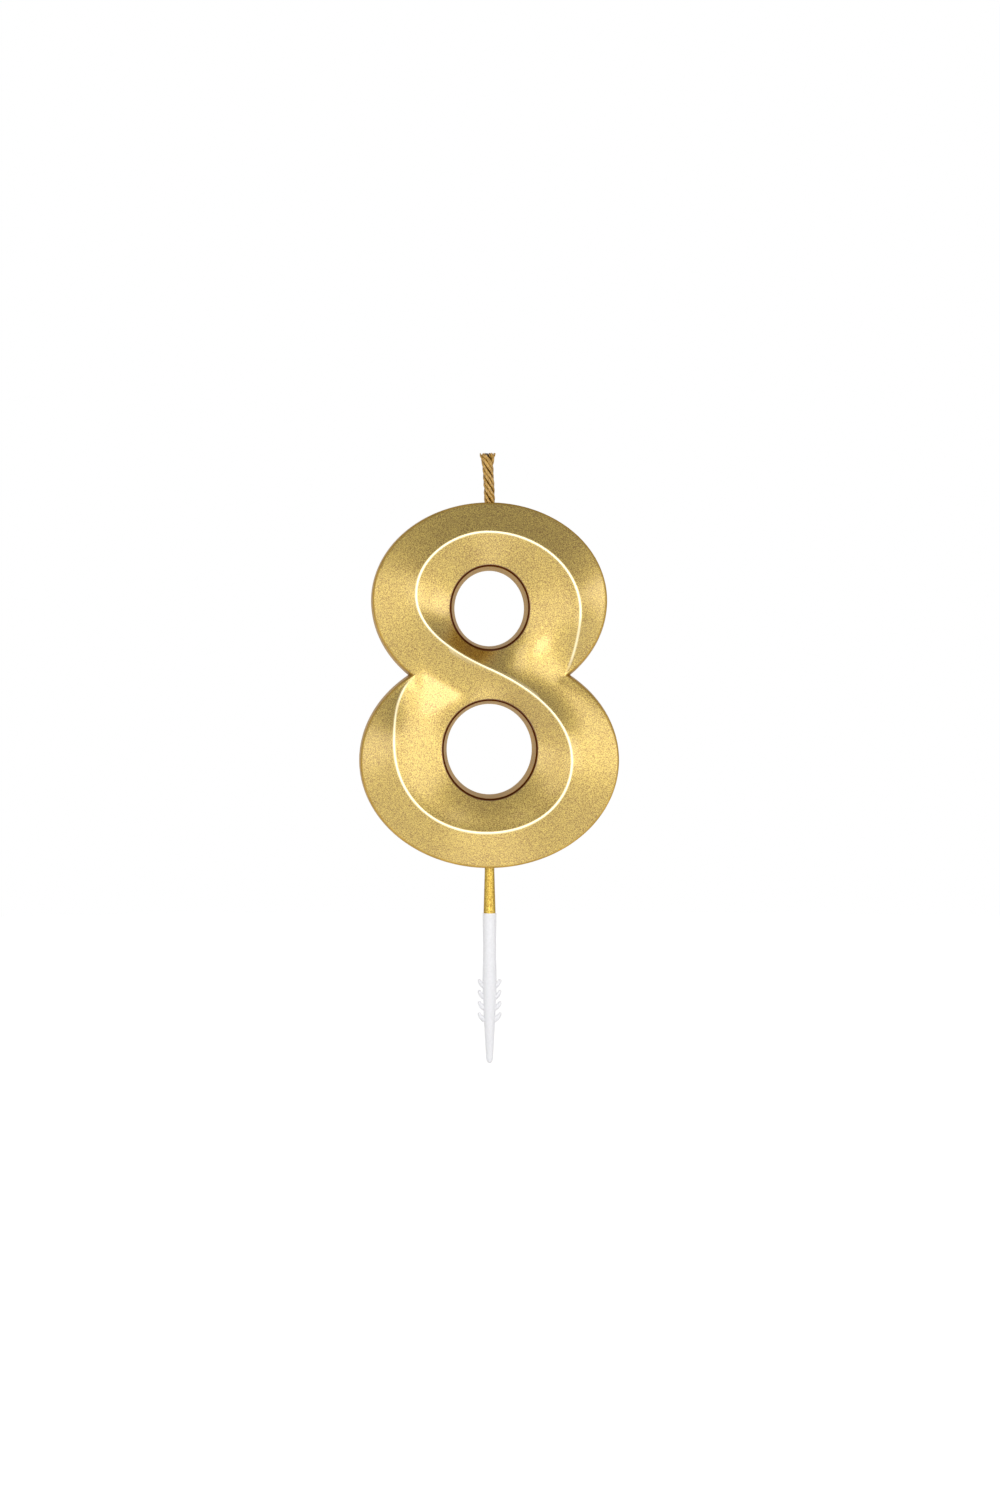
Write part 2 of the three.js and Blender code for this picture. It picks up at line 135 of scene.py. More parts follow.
# Two finishes on a mesh, the second on the chosen faces.
def splitFinish(mesh, first, second, chosen):
    mesh.materials.clear()
    mesh.materials.append(first)
    mesh.materials.append(second)
    mesh.polygons.foreach_set("material_index", chosen.astype(np.int32))


# Materials

# sRGB hex to linear red, green and blue
def linearColour(code):
    channels = np.array([int(code[i:i + 2], 16) for i in (1, 3, 5)]) / 255
    bright = ((channels + 0.055) / 1.055) ** 2.4
    return (*np.where(channels <= 0.04045, channels / 12.92, bright), 1)


# Adds a shader node of a kind with its settings and inputs, and gives one of its outputs. An input goes by
# its name with _ for each space, or by _ and its number: an output is linked to it, all else is its value.
def addNode(tree, kind, settings=None, output=0, **inputs):
    node = tree.nodes.new("ShaderNode" + kind)
    for key, value in (settings or {}).items():
        setattr(node, key, value)
    for key, value in inputs.items():
        socket = node.inputs[int(key[1:])] if key[1:].isdigit() else node.inputs[key.replace("_", " ")]
        if isinstance(value, bpy.types.NodeSocket):
            tree.links.new(value, socket)
        else:
            socket.default_value = value
    return node.outputs[output] if node.outputs else None


# A material whose surface is what a function adds to its node tree.
def newMaterial(name, surface, *choices):
    material = bpy.data.materials.new(name)
    material.use_nodes = True
    tree = material.node_tree
    tree.nodes.clear()
    addNode(tree, "OutputMaterial", Surface=surface(tree, *choices))
    return material


# Numeral

numeral = dict(
    foot=8.4, lobeSpacing=30.6,  # mm above the shoulder of the pick
    topHalfWidth=22.7, topRise=18.9, topDrop=19.6,
    bottomHalfWidth=25.0, bottomRise=20.9, bottomDrop=20.8,
    topCounter=(7.6, 8.15, -1.5),  # half width, half height, level in its lobe
    bottomCounter=(9.1, 9.6, 2.1),
    backY=4.5, wallDepth=9.0, ridgeRise=3.1,
    outerDraft=0.45, counterDraft=0.95,
    edgeRound=0.3, backRound=0.35, crestHalfWidth=0.35,
    bendShare=0.7, bendLimit=0.3, bendFade=2,  # of edgeRound, of a flank at most, mm beside a notch
    ridgeEndRuns=(11.6, 14.5), backNotchRun=14.0,  # at the right and the left notch
    # level valleys beside the ridge: side, distance from it, the runs in which they fade out towards the
    # counter and past the notch, pull and softness
    valleys=((1, 5.5, 3.8, 9.1, 5.4, 3.1), (-1, 6.6, 19.5, 1.0, 3.75, 1.3)),
    lineSpacing=0.2, traceSpacing=0.08, valleySpacing=0.3, crossingSteps=4000, edgeSteps=2000,
    crestHighlightHalfWidth=0.36, crestHighlightFade=0.28, crestHighlightEndRun=4.5,  # the painted highlight along the crest
    rimShadeWidth=0.2, wallLacquerFrom=0.02, sharpAngle=50,  # the thin lacquer with painted reflection and shade starts behind the edges
)
pointsAtOnce = 500  # keeps the tables of distances small
bottomLevel = numeral["foot"] + numeral["bottomDrop"]
topLevel = bottomLevel + numeral["lobeSpacing"]
numeralTop = topLevel + numeral["topRise"]
lobes = dict(
    top=(topLevel, numeral["topHalfWidth"], numeral["topRise"], numeral["topDrop"]),
    bottom=(bottomLevel, numeral["bottomHalfWidth"], numeral["bottomRise"], numeral["bottomDrop"]),
)
counters = {
    lobe: (lobes[lobe][0] + above, halfWidth, halfHeight, halfHeight)
    for lobe, (halfWidth, halfHeight, above) in
    (("top", numeral["topCounter"]), ("bottom", numeral["bottomCounter"]))
}
edgeY = numeral["backY"] - numeral["wallDepth"]
ridgeY = edgeY - numeral["ridgeRise"]
faceInset = numeral["outerDraft"] + numeral["edgeRound"]


# Where rays on some headings from the axis at a level leave an oval that is drawn in by an inset.
# An oval is two half ellipses: x^2 / (halfWidth - inset)^2 + z^2 / (rise or drop - inset)^2 = 1.
def ovalPoint(oval, inset, centreLevel, heading):
    level, halfWidth, rise, drop = oval
    across, up = np.cos(heading), np.sin(heading)

    def isInside(reach):
        z = centreLevel + reach * up - level
        height = np.where(z > 0, rise, drop) - inset
        return np.hypot(reach * across / (halfWidth - inset), z / height) < 1

    reach = bisect(0 * heading, 4 * halfWidth + 0 * heading, isInside)
    return np.stack([reach * across, centreLevel + reach * up], -1)


# Where the outlines of the two lobes cross, on the right (side 1) or the left (-1).
def notchPoint(side, inset):
    def halfWidthAt(oval, z):
        level, halfWidth, rise, drop = oval
        share = (z - level) / (np.where(z > level, rise, drop) - inset)
        return (halfWidth - inset) * np.sqrt(np.maximum(0, 1 - share * share))

    low = lobes["top"][0] - numeral["topDrop"] + inset
    high = lobes["bottom"][0] + numeral["bottomRise"] - inset
    z = bisect(low, high, lambda z: halfWidthAt(lobes["top"], z) < halfWidthAt(lobes["bottom"], z))
    return np.array([side * float(halfWidthAt(lobes["top"], z)), float(z)])


faceNotches = {side: notchPoint(side, faceInset) for side in (1, -1)}


# The ridge runs in cubic arcs through its anchors. Each is x, z, heading in degrees, and the lengths
# of its handles before and after it, as shares of the chord.
waistLevel = (counters["top"][0] - counters["top"][3] + counters["bottom"][0] + counters["bottom"][2]) / 2
ridgeAnchors = np.array([
    (*faceNotches[1], 62, 0, 0.25),
    (17.1, topLevel - 2.4, 90, 0.3, 0.38),
    (-0.4, numeralTop - 6.1, 180, 0.39, 0.36),
    (-14.0, topLevel + 0.9, -90, 0.39, 0.3),
    (0, waistLevel + 1.1, -24, 0.45, 0.38),
    (15.5, bottomLevel, -90, 0.34, 0.36),
    (-0.7, numeral["foot"] + 7.2, 180, 0.46, 0.39),
    (-18.2, bottomLevel + 3.6, 90, 0.44, 0.47),
    (*faceNotches[-1], 42, 0.31, 0),
])
pointsPerArc = 500


# Cubic arcs: (1-t)^3 a + 3t(1-t)^2 b + 3t^2(1-t) c + t^3 d, for t from 0 to 1 between two anchors.
def ridgeCurve(anchors):
    place, turn = anchors[:, :2], np.radians(anchors[:, 2])
    way = np.stack([np.cos(turn), np.sin(turn)], -1)
    chord = np.linalg.norm(np.diff(place, axis=0), axis=1)[:, None]
    handleOut = place[:-1] + way[:-1] * anchors[:-1, 4:5] * chord
    handleIn = place[1:] - way[1:] * anchors[1:, 3:4] * chord
    t = np.linspace(0, 1, pointsPerArc, endpoint=False)[None, :, None]
    weights = [(1 - t) ** 3, 3 * t * (1 - t) ** 2, 3 * t * t * (1 - t), t ** 3]
    corners = [place[:-1], handleOut, handleIn, place[1:]]
    arcs = sum(weight * corner[:, None, :] for weight, corner in zip(weights, corners))
    return np.vstack([arcs.reshape(-1, 2), place[-1:]])


# How far along a curve each of its points is.
def runsOf(curve):
    return np.concatenate([[0], np.cumsum(np.linalg.norm(np.diff(curve, axis=0), axis=1))])


# The points of a curve at runs along it.
def pointsAt(run, curve, curveRun):
    return np.stack([np.interp(run, curveRun, curve[:, axis]) for axis in (0, 1)], -1)


ridge = ridgeCurve(ridgeAnchors)
ridgeRun = runsOf(ridge)


# The turn from one heading to another, with growing headings (way 1) or falling ones (-1).
def sweepBetween(first, last, way):
    return way * ((way * (last - first)) % (2 * math.pi))


def ridgeAt(run):
    return pointsAt(run, ridge, ridgeRun)


# The run along the ridge at which it crosses the line from a counter's centre to a notch.
def ridgeCrossing(counter, notch, first, last):
    run = np.linspace(first, last, numeral["crossingSteps"])
    off = np.sin(headingFrom(counter[0], ridgeAt(run)) - headingFrom(counter[0], notch))
    i = np.flatnonzero(np.sign(off[1:]) != np.sign(off[:-1]))[0]
    return run[i] + (run[i + 1] - run[i]) * off[i] / (off[i] - off[i + 1])


anchorRun = ridgeRun[::pointsPerArc]
leftBridgeRun = ridgeCrossing(counters["top"], faceNotches[-1], anchorRun[3], anchorRun[4])
rightBridgeRun = ridgeCrossing(counters["bottom"], faceNotches[1], anchorRun[4], anchorRun[5])


# A stretch of the ridge at an even spacing, on the face and on the flat back.
# On the back its ends are shifted to the back's own notches, fading with the run from them.
def ridgeLine(first, last):
    count = round((last - first) / numeral["lineSpacing"])
    run = np.linspace(first, last, count + 1)
    shift = 0
    for side, away in ((1, run), (-1, ridgeRun[-1] - run)):
        near = smoothStep(1 - away / numeral["backNotchRun"])[:, None]
        shift = shift + near * (notchPoint(side, 0) - faceNotches[side])
    return atDepth(ridgeAt(run), ridgeY), atDepth(ridgeAt(run) + shift, numeral["backY"])


# Face, edge and back outlines of a lobe, with a point for each point of the ridge beside it.
# Headings about the counter are stretched so that each level starts and ends in its own notches.
def outlineLevels(lobe, plan, way):
    oval, level = lobes[lobe], counters[lobe][0]
    ridgeFirst = headingFrom(level, faceNotches[1])
    ridgeSweep = sweepBetween(ridgeFirst, headingFrom(level, faceNotches[-1]), way)
    share = sweepBetween(ridgeFirst, headingFrom(level, plan), way) / ridgeSweep
    share[0], share[-1] = 0, 1

    def outline(inset, y):
        start, end = notchPoint(1, inset), notchPoint(-1, inset)
        first = headingFrom(level, start)
        sweep = sweepBetween(first, headingFrom(level, end), way)
        points = ovalPoint(oval, inset, level, first + share * sweep)
        points[0], points[-1] = start, end
        return atDepth(points, y)

    edge = outline(numeral["outerDraft"], edgeY + numeral["edgeRound"])
    return outline(faceInset, edgeY), edge, outline(0, numeral["backY"])


# Even points along a curve, and how far along it each is.
def curveTrace(curve):
    run = runsOf(curve)
    middle = (np.arange(round(run[-1] / numeral["traceSpacing"])) + 0.5) * numeral["traceSpacing"]
    return pointsAt(middle, curve, run), middle


# The face's edges as curves: the rims of both counters, and the outline of each lobe between the notches.
def edgeCurves():
    steps = numeral["edgeSteps"]
    around = np.linspace(0, 2 * math.pi, steps)
    curves = [ovalPoint(counters[lobe], 0, counters[lobe][0], around) for lobe in counters]
    for lobe, way in (("top", 1), ("bottom", -1)):
        first, last = (headingFrom(lobes[lobe][0], faceNotches[side]) for side in (1, -1))
        heading = first + sweepBetween(first, last, way) * np.linspace(0, 1, steps)
        curves.append(ovalPoint(lobes[lobe], faceInset, lobes[lobe][0], heading))
    return curves


# A valley's points run beside the middle of the ridge. Its pull fades both ways from its notch.
def valleyPoints(side, distance, runToCounter, runPastNotch, pull, softness):
    run = np.arange(anchorRun[3], anchorRun[5], numeral["valleySpacing"])
    way = np.gradient(ridgeAt(run), axis=0)
    way /= np.linalg.norm(way, axis=1, keepdims=True)
    places = ridgeAt(run) + side * distance * np.stack([-way[:, 1], way[:, 0]], -1)
    notch = np.linalg.norm(places - faceNotches[side], axis=1).argmin()
    past = side * (run - run[notch])
    fade = smoothStep(1 - np.where(past < 0, -past / runToCounter, past / runPastNotch))
    return places, pull * numeral["valleySpacing"] * fade, softness ** 2 + 0 * fade


ridgeTrace, ridgeTraceRun = curveTrace(ridge)
edgeTrace = np.vstack([curveTrace(curve)[0] for curve in edgeCurves()])
valleyTrace, valleyLength, valleySoftness = (
    np.concatenate(part) for part in zip(*(valleyPoints(*valley) for valley in numeral["valleys"])))
ridgeFade = np.prod([smoothStep(away / endRun) for away, endRun in
                     zip((ridgeTraceRun, ridgeRun[-1] - ridgeTraceRun), numeral["ridgeEndRuns"])], axis=0)


# How far the face stands before its edges at points of the X-Z plane. A curve's smooth distance is
# (2/pi * sum of length / d^4)^(-1/3), which is the plain distance beside a straight line. The ridge fades
# out towards its ends, and the valleys count as soft edges. With a from the ridge and b from the edges,
# u = a / (a + b) is the share of the way down a flank: it falls by u^2 / 2k up to
# k = crestHalfWidth / (a + b) and straight on by u - k/2 after it, from the height of the ridge nearby.
def faceRise(plan):
    flat = plan.reshape(-1, 2)
    rise = np.empty(len(flat))
    for start in range(0, len(flat), pointsAtOnce):
        part = flat[start:start + pointsAtOnce, None]
        nearRidge, nearEdge, nearValley = (
            length / (((part - trace) ** 2).sum(-1) + softness) ** 2
            for trace, length, softness in (
                (ridgeTrace, numeral["traceSpacing"] * ridgeFade, 1e-9),
                (edgeTrace, numeral["traceSpacing"], 1e-9),
                (valleyTrace, valleyLength, valleySoftness),
            )
        )
        a = (2 / math.pi * nearRidge.sum(-1)) ** (-1 / 3)
        b = (2 / math.pi * (nearEdge.sum(-1) + nearValley.sum(-1))) ** (-1 / 3)
        height = numeral["ridgeRise"] * (nearRidge @ ridgeFade) / nearRidge.sum(-1)
        u, k = a / (a + b), np.minimum(0.5, numeral["crestHalfWidth"] / (a + b))
        fall = np.where(u < k, u ** 2 / (2 * k), u - k / 2) / (1 - k / 2)
        rise[start:start + pointsAtOnce] = height * (1 - fall)
    return rise.reshape(plan.shape[:-1])


crestRows = np.linspace(0, 1, 5)
flankRows = np.linspace(0, 1, 9)[1:]
bendRows = np.linspace(0, 1, 5)[None, :, None]
wallRows = np.linspace(0, 1, 6)[None, 1:-1, None]


# A bend round a corner from one point to another: (1-t)^2 a + 2t(1-t) corner + t^2 b.
def bend(start, corner, end):
    t = bendRows
    return (1 - t) ** 2 * start[:, None] + 2 * t * (1 - t) * corner[:, None] + t * t * end[:, None]


# The point at a reach from a corner towards another point, no farther than nearly half way.
def towards(corner, other, reach):
    length = np.maximum(np.linalg.norm(other - corner, axis=-1), 1e-9)
    return corner + (other - corner) * np.minimum(reach / length, 0.45)[:, None]


# Section lines as points[line, row], from the crest over the flank, the edge, the wall and the back to
# below the crest. Soft is how much of their rounding the edges keep: none in the notches.
def sections(crest, face, edge, back, backCrest, soft):
    width = np.linalg.norm((face - crest)[:, [0, 2]], axis=1)
    k = np.minimum(0.5, numeral["crestHalfWidth"] / np.maximum(width, numeral["crestHalfWidth"]))[:, None]
    reach = numeral["edgeRound"] * numeral["bendShare"]
    last = 1 - np.minimum(reach * soft / np.maximum(width, 1e-9), numeral["bendLimit"])[:, None]
    share = np.hstack([k * crestRows, mix(k, last, flankRows)])
    flank = mix(crest[:, None], face[:, None], share[..., None])
    flank[..., 1] = np.where(share < 1, edgeY - faceRise(flank[..., [0, 2]]), edgeY)
    faceBend = bend(flank[:, -1], face, towards(face, edge, reach * soft))
    edgeBend = bend(towards(edge, face, reach), edge, towards(edge, back, reach))
    backReach = numeral["backRound"] * soft
    backBend = bend(towards(back, edge, backReach), back, towards(back, backCrest, backReach))
    wall = mix(edgeBend[:, -1:], backBend[:, :1], wallRows)
    rear = mix(backCrest[:, None], backBend[:, -1:], (share / share[:, -1:])[:, ::-1, None])
    rows = [flank, faceBend[:, 1:], edgeBend, wall, backBend, rear[:, 1:]]
    return np.concatenate(rows, 1), flank, rear[:, ::-1]


# From the ridge out over a lobe's outer flank.
def outerSections(lobe, crest, backCrest, way):
    face, edge, back = outlineLevels(lobe, crest[:, [0, 2]], way)
    notches = np.stack(list(faceNotches.values()))
    gap = np.linalg.norm(face[:, None, [0, 2]] - notches, axis=-1).min(1)
    return sections(crest, face, edge, back, backCrest, smoothStep(gap / numeral["bendFade"]))


# From the ridge and the bridge in to a counter, through its wall.
def innerSections(lobe, crest, backCrest):
    counter = counters[lobe]
    heading = headingFrom(counter[0], crest[:, [0, 2]])

    def level(inset, y):
        return atDepth(ovalPoint(counter, inset, counter[0], heading), y)

    lip = level(numeral["edgeRound"], edgeY + numeral["edgeRound"])
    rear = level(numeral["counterDraft"], numeral["backY"])
    return sections(crest, level(0, edgeY), lip, rear, backCrest, np.ones(len(crest)))[0]


# The whole numeral: the outer flanks and the insides of both lobes. A lobe's inside is bounded by the
# ridge, the waist and the bridge to the notch of the other lobe.
def numeralGrids():
    topRidge, topBack = ridgeLine(0, leftBridgeRun)
    waist, waistBack = ridgeLine(leftBridgeRun, rightBridgeRun)
    bottomRidge, bottomBack = ridgeLine(rightBridgeRun, ridgeRun[-1])
    topOuter, topFlank, topRear = outerSections("top", topRidge, topBack, 1)
    bottomOuter, bottomFlank, bottomRear = outerSections("bottom", bottomRidge, bottomBack, -1)
    leftBridge, rightBridge = topFlank[-1], bottomFlank[0]
    topLoop = np.vstack([topRidge, waist[1:], rightBridge[1:]])
    topLoopBack = np.vstack([topBack, waistBack[1:], bottomRear[0][1:]])
    bottomLoop = np.vstack([waist, bottomRidge[1:], leftBridge[-2::-1]])
    bottomLoopBack = np.vstack([waistBack, bottomBack[1:], topRear[-1][-2::-1]])
    topInner = innerSections("top", topLoop, topLoopBack)
    bottomInner = innerSections("bottom", bottomLoop, bottomLoopBack)
    grids = [topOuter, bottomOuter, topInner, bottomInner]
    # the tips of the notches lie on several grids, at the level of the edges
    for grid in grids:
        for side in (1, -1):
            atTip = np.abs(grid[:, :, [0, 2]] - faceNotches[side]).max(-1) < 1e-6
            grid[..., 1] = np.where(atTip & (grid[..., 1] < edgeY), edgeY, grid[..., 1])
    return list(zip(grids, (True, False, False, True)))


# A closed round bar on the Z axis: radius and level pairs, turned through a whole circle.
def turnedGrid(profile, sides=96):
    profile = np.asarray(profile, float)
    profile = np.vstack([[0, profile[0, 1]], profile, [0, profile[-1, 1]]])
    angle = np.linspace(0, 2 * math.pi, sides + 1)
    angle[-1] = 0
    radius, level = profile[:, 0], profile[:, 1]
    x, y = np.outer(np.cos(angle), radius), np.outer(np.sin(angle), radius)
    return np.stack([x, y, np.broadcast_to(level, x.shape)], -1)


# Wick and pick: their values, which the numeral's bore and socket share

wick = dict(
    plyOrbit=0.6, plyRadius=0.46, lay=8.4, freeLength=9.2, boreDepth=9.5, clearance=0.15, footGap=0.3,
    lean=0.4, frayLength=2.8, frayPower=1.3, fraySpread=0.42, frayHeading=195.0, seed=40,
    # a ply's three yarns, the third inside: distance and degrees from the wick's axis, and radius
    yarns=((0.72, -27.0, 0.345), (0.72, 27.0, 0.345), (0.3, 0.0, 0.3)),
    # a yarn's slow waves, each its height and length: in angle (radians), distance and radius (a share)
    angleWave=(0.09, 7), orbitWave=(0.045, 5), radiusWave=(0.07, 3),
    waveTurns=(1, 2, 3.3), waveStretches=(0.7, 1.4),
    yarnEnd=0.45, yarnTaper=1.5, yarnThinning=0.45, yarnTwist=3.1, ringSpacing=0.13, sides=42,
    bundles=7, bundleDepth=0.07, bundlePower=0.7,
    grooveReach=0.55, grooveDepth=0.5,  # where a ply's grooves are, from the wick's axis
    tufts=24, tuftRadius=0.16, tuftLength=2.3, tuftUneven=0.42, tuftReach=(0.12, 0.22),
    tuftRings=18, tuftSides=12, tuftSizes=(0.75, 1.15), tuftFoot=0.4, tuftTip=0.45,
    partings=(0.39, 1.56), tuftTurn=1.2, lumps=3, lumpTwist=9, lumpHeight=0.12,
)
wickTop = numeralTop + wick["freeLength"]
wickFoot = numeralTop - wick["boreDepth"] + wick["footGap"]
wickBoreRadius = wick["plyOrbit"] + wick["plyRadius"] + wick["clearance"]

pick = dict(
    stemTopRadius=0.92, stemFootRadius=1.15, headLength=9.0, ribs=3, ribRise=0.35, headClearance=0.12,
    endGap=0.3, length=28.7, shoulderRound=0.12, shoulderLevel=-0.4,
    # shaft radius at levels below the shoulder, down to where its tip begins
    shaft=((0, 1.33), (-3, 1.29), (-6, 1.24), (-9, 1.27), (-11.6, 1.34), (-14.4, 1.33), (-16.6, 1.2),
           (-18.8, 1.16), (-21.0, 1.05), (-22.6, 0.95), (-25.0, 0.82), (-27.4, 0.67)),
    shaftRings=130, meanOver=9, tipRings=14, tipPower=0.8, shoulderRings=7, sharpAngle=35,
    barbTips=(-12.63, -14.74, -16.85, -19.02), barbRings=26, barbSides=24,
    # root, elbow and end of a barb's centre line: distance from the axis and level above its own tip
    barbLine=((0.6, -1.4), (1.78, -1.2), (2.06, 0.04)),
    barbHalf=(0.66, 0.27), barbDepth=(0.62, 0.36), barbClosing=0.08,  # at the root and at the end
)


# Radius and level pairs of the head in the wax, from its foot up: rings on the stem, grown all round.
def headProfile(grow):
    pitch, rise = pick["headLength"] / (pick["ribs"] + 1), pick["ribRise"]
    stem = pick["stemTopRadius"] + grow
    rings = [
        pair for level in numeral["foot"] + pitch * np.arange(1, pick["ribs"] + 1)
        for pair in ((stem, level - rise - grow), (stem + rise, level - grow),
                     (stem + rise, level + grow), (stem, level + rise + grow))
    ]
    return rings + [(stem, numeral["foot"] + pick["headLength"] + grow)]


# Centre lines of strands in the wick, as points[strand, ring]: helices to the left at an orbit and an
# angle round an axis that leans above the wax. The orbit opens by spread towards the top, as
# share^frayPower.
def strandPaths(z, orbit, angle, spread):
    lean = -wick["lean"] * smoothStep((z - numeralTop) / wick["freeLength"])
    fray = np.clip(1 - (wickTop - z) / wick["frayLength"], 0, 1) ** wick["frayPower"]
    turn = angle + (wickTop - z) / wick["lay"] * 2 * math.pi
    reach = orbit + spread * fray
    return np.stack([lean + reach * np.cos(turn), reach * np.sin(turn), z + 0 * turn], -1)


# Tubes along centre lines: each ring is centre + r (cos f n + sin f b), where n points away from the
# wick's axis and b is square to it and to the line. radius is r[strand, ring, side].
def strandGrids(paths, radius, angles):
    along = np.gradient(paths, axis=1)
    along /= np.linalg.norm(along, axis=-1, keepdims=True)
    outward = paths * [1, 1, 0] + [1e-6, 0, 0]
    outward -= along * (outward * along).sum(-1, keepdims=True)
    outward /= np.linalg.norm(outward, axis=-1, keepdims=True)
    sideways = np.cross(along, outward)
    grids = paths[:, :, None] + radius[..., None] * (
        np.cos(angles)[..., None] * outward[:, :, None] + np.sin(angles)[..., None] * sideways[:, :, None])
    grids[:, :, -1] = grids[:, :, 0]
    middle = paths[:, [0, -1], None] + 0 * grids[:, :1]
    return np.concatenate([middle[:, :1], grids, middle[:, 1:]], 1)


# Uneven handling: a slow wave along each of a ply's yarns, its height times the mean of three sines with
# drawn phases and lengths.
def slowWave(z, draw, wave):
    height, length = wave
    size = (len(wick["waveTurns"]), len(wick["yarns"]), 1)
    phase, stretch = draw.uniform(0, 2 * math.pi, size), draw.uniform(*wick["waveStretches"], size)
    waves = [np.sin(2 * math.pi * z * share * turns / length + start)
             for turns, share, start in zip(wick["waveTurns"], stretch, phase)]
    return height * (sum(waves) / 3)


# The yarns of a ply, each a tube that thins at its end and whose section has bundles that wind round it:
# its radius falls by bundleDepth * (1 - |sin|^bundlePower) between them.
def yarnGrids(plyAngle, draw):
    orbit, heading, radius = (np.array(column)[:, None] for column in zip(*wick["yarns"]))
    count = round((wickTop - wickFoot) / wick["ringSpacing"])
    z = np.linspace(wickFoot, wickTop - wick["yarnEnd"], count)[None, :]
    angle = plyAngle + np.radians(heading) + slowWave(z, draw, wick["angleWave"])
    paths = strandPaths(z, orbit + slowWave(z, draw, wick["orbitWave"]), angle, wick["fraySpread"])
    taper = 1 - wick["yarnThinning"] * smoothStep(z - wickTop + wick["yarnTaper"])
    radius = radius * (1 + slowWave(z, draw, wick["radiusWave"])) * taper
    f = np.linspace(0, 2 * math.pi, wick["sides"] + 1)[None, None, :]
    twist = wick["yarnTwist"] * 2 * math.pi * (z - wickFoot)[..., None] / wick["lay"]
    bundle = np.abs(np.sin(wick["bundles"] * (f + twist) / 2)) ** wick["bundlePower"]
    radius = radius[..., None] * (1 - wick["bundleDepth"] + wick["bundleDepth"] * bundle)
    return strandGrids(paths, radius, f + 0 * radius)


# The tufts of a ply: fibre bundles of its yarns, which part towards the cut end as share^2. They swell
# over their first sixth, thin as 1 - tuftTip * share^6, and are lumpy as lumpHeight * sin(lumps * f).
def tuftGrids(plyAngle, draw):
    count = wick["tufts"]
    orbit, heading, _ = (np.array(column)[np.arange(count) % 3, None] for column in zip(*wick["yarns"]))
    share = np.linspace(0, 1, wick["tuftRings"])[None, :]
    z = wickTop - draw.uniform(0, wick["tuftUneven"], (count, 1)) - wick["tuftLength"] * (1 - share)
    around = draw.uniform(0, 2 * math.pi, (count, 1))
    parting = 1 + share ** 2 * draw.uniform(*wick["partings"], (count, 1))
    away = draw.uniform(*wick["tuftReach"], (count, 1)) * parting
    paths = strandPaths(z, orbit, plyAngle + np.radians(heading), wick["fraySpread"])
    paths[..., 0] += away * np.cos(around + wick["tuftTurn"] * share)
    paths[..., 1] += away * np.sin(around + wick["tuftTurn"] * share)
    swell = (1 - wick["tuftTip"] * share ** 6) * mix(wick["tuftFoot"], 1, smoothStep(share * 6))
    size = wick["tuftRadius"] * draw.uniform(*wick["tuftSizes"], (count, 1)) * swell
    f = np.linspace(0, 2 * math.pi, wick["tuftSides"] + 1)[None, None, :]
    lump = np.sin(wick["lumps"] * f + wick["lumpTwist"] * share[..., None] + around[..., None])
    radius = size[..., None] * (1 + wick["lumpHeight"] * lump)
    return strandGrids(paths, radius, f + 0 * radius)


# One ply, which carries its height above the grooves between the yarns as an attribute from 0 to 1, which
# places the cotton's painted shade and highlight.
def makePly(name, number, material):
    draw = np.random.default_rng(wick["seed"] + number)
    plyAngle = math.radians(wick["frayHeading"] + 120 * number)
    grids = [*yarnGrids(plyAngle, draw), *tuftGrids(plyAngle, draw)]
    points, cells = skinOf([(grid, False) for grid in grids])
    piece = makePiece(name, points, cells, material)
    axis = -wick["lean"] * smoothStep((points[:, 2] - numeralTop) / wick["freeLength"])
    reach = np.hypot(points[:, 0] - axis, points[:, 1])
    height = smoothStep((reach - wick["grooveReach"]) / wick["grooveDepth"])
    piece.data.attributes.new("strandHeight", "FLOAT", "POINT").data.foreach_set("value", height)
    return piece


# Radius and level pairs of the whole pick from its tip up. The shaft's measures are joined by a running
# mean, and the tip closes as radius * sin(a)^tipPower and length * cos(a).
def pickProfile():
    level, radius = np.array(pick["shaft"])[::-1].T
    levels = np.linspace(level[0], pick["shoulderLevel"], pick["shaftRings"])
    window = np.hanning(pick["meanOver"]) / np.hanning(pick["meanOver"]).sum()
    radii = np.pad(np.interp(levels, level, radius), pick["meanOver"] // 2, mode="edge")
    radii = np.convolve(radii, window, mode="valid")
    turn = np.linspace(0, math.pi / 2, pick["tipRings"])[1:-1]
    tipLength = pick["length"] + level[0]
    tip = np.stack([radii[0] * np.sin(turn) ** pick["tipPower"], level[0] - tipLength * np.cos(turn)], -1)
    bendRadius = pick["shoulderRound"]
    turn = np.linspace(0, math.pi / 2, pick["shoulderRings"])
    shoulder = np.stack([radius[-1] - bendRadius * (1 - np.cos(turn)), bendRadius * (np.sin(turn) - 1)], -1)
    stem = [(pick["stemFootRadius"], 0), (pick["stemTopRadius"], numeral["foot"] - pick["endGap"])]
    return np.vstack([tip, np.stack([radii, levels], -1), shoulder, stem, headProfile(0)])


